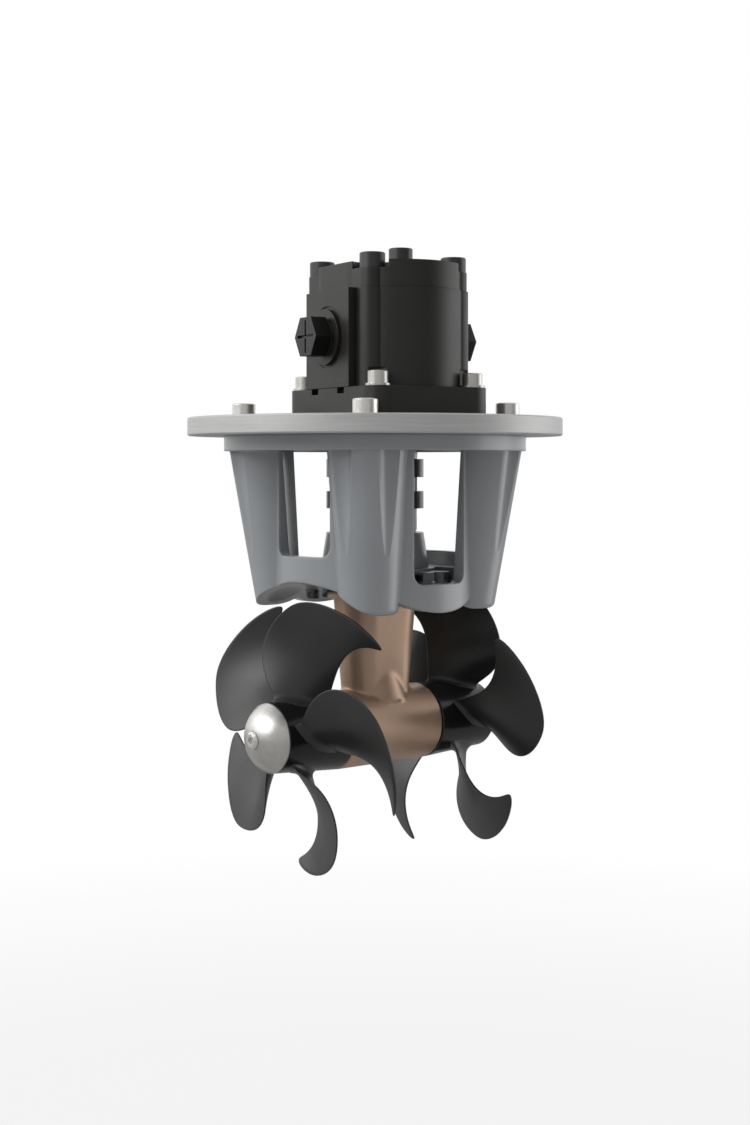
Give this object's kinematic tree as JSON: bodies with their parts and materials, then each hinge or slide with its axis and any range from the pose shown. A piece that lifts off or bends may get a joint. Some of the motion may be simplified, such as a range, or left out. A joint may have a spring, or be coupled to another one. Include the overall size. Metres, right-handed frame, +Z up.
{
  "type": "bow thruster",
  "caption": "Tunnel bow thruster: gear motor on a windowed bracket drives the propellers through a coupling, an upright shaft and a bronze bevel gear leg.",
  "frame": {"origin": "crown of the saddle that rests on the tunnel's outer wall, on the drive shaft's axis", "axes": "+Z up along the drive shaft towards the motor; X along the propeller shaft, with the near propeller of the picture at -X"},
  "size_m": [0.25, 0.25, 0.4128],
  "materials": {
    "brushed_plate": "brushed",
    "grey_casting": "satin grey paint",
    "bright_steel": "satin zinc plating",
    "dark_steel": "satin, dark",
    "black_steel": "satin black",
    "black_paint": "satin black paint",
    "black_plastic": "matte",
    "bearing_steel": "ground",
    "bush_bronze": "machined",
    "bronze": "satin cast bronze",
    "rubber": "matte",
    "propeller_composite": "satin charcoal",
    "anode_alloy": "cast, satin"
  },
  "bodies": {
    "housing": {"adapter_plate": "brushed_plate", "motor_bracket": "grey_casting", "bracket_bolts": "bright_steel", "tunnel_bolts": "dark_steel", "tunnel_washers": "bright_steel", "seal_housing": "grey_casting", "drive_shaft_seal": "rubber", "leg_bolts": "bright_steel", "gear_leg": "bronze", "leg_gasket": "rubber", "upper_drive_bearing": "bearing_steel", "lower_drive_bearing": "bearing_steel", "near_shaft_bearing": "bearing_steel", "near_bearing_cover": "bronze", "near_shaft_seal": "rubber", "far_shaft_bearing": "bearing_steel", "far_bearing_cover": "bronze", "far_shaft_seal": "rubber", "motor_flange": "black_paint", "motor_shaft_seal": "rubber", "motor_body": "black_paint", "motor_end_cover": "black_paint", "motor_flange_screws": "bright_steel", "motor_flange_washers": "bright_steel", "end_cover_screws": "black_steel", "port_plug_left": "black_plastic", "port_plug_right": "black_plastic", "port_seals": "rubber", "lower_bush_block": "bush_bronze", "upper_bush_block": "bush_bronze"},
    "drive_line": {"motor_drive_gear": "bearing_steel", "coupling_upper_half": "dark_steel", "coupling_element": "rubber", "coupling_lower_half": "dark_steel", "coupling_pins": "bright_steel", "drive_shaft": "bearing_steel", "bevel_pinion": "bearing_steel"},
    "motor_idler": {"motor_idler_gear": "bearing_steel"},
    "propeller_group": {"propeller_shaft": "bearing_steel", "bevel_gear": "bearing_steel", "near_propeller": "propeller_composite", "far_propeller": "propeller_composite", "drive_pins": "bright_steel", "propeller_nuts": "bright_steel", "near_anode": "anode_alloy", "far_anode": "anode_alloy", "anode_screws": "bright_steel"}
  },
  "joints": [
    {"name": "propeller_spin", "type": "hinge", "parent": "housing", "child": "propeller_group", "pos_m": [0, 0, -0.0982], "axis": [1, 0, 0], "continuous": true},
    {"name": "drive_spin", "type": "hinge", "parent": "housing", "child": "drive_line", "pos_m": [0, 0, 0], "axis": [0, 0, 1], "continuous": true},
    {"name": "idler_spin", "type": "hinge", "parent": "housing", "child": "motor_idler", "pos_m": [-0.00572, -0.03087, 0.15], "axis": [0, 0, 1], "continuous": true}
  ],
  "couplings": [
    {"joint": "drive_spin", "follows": "propeller_spin", "ratio": -1.4286},
    {"joint": "idler_spin", "follows": "propeller_spin", "ratio": 1.4286}
  ]
}
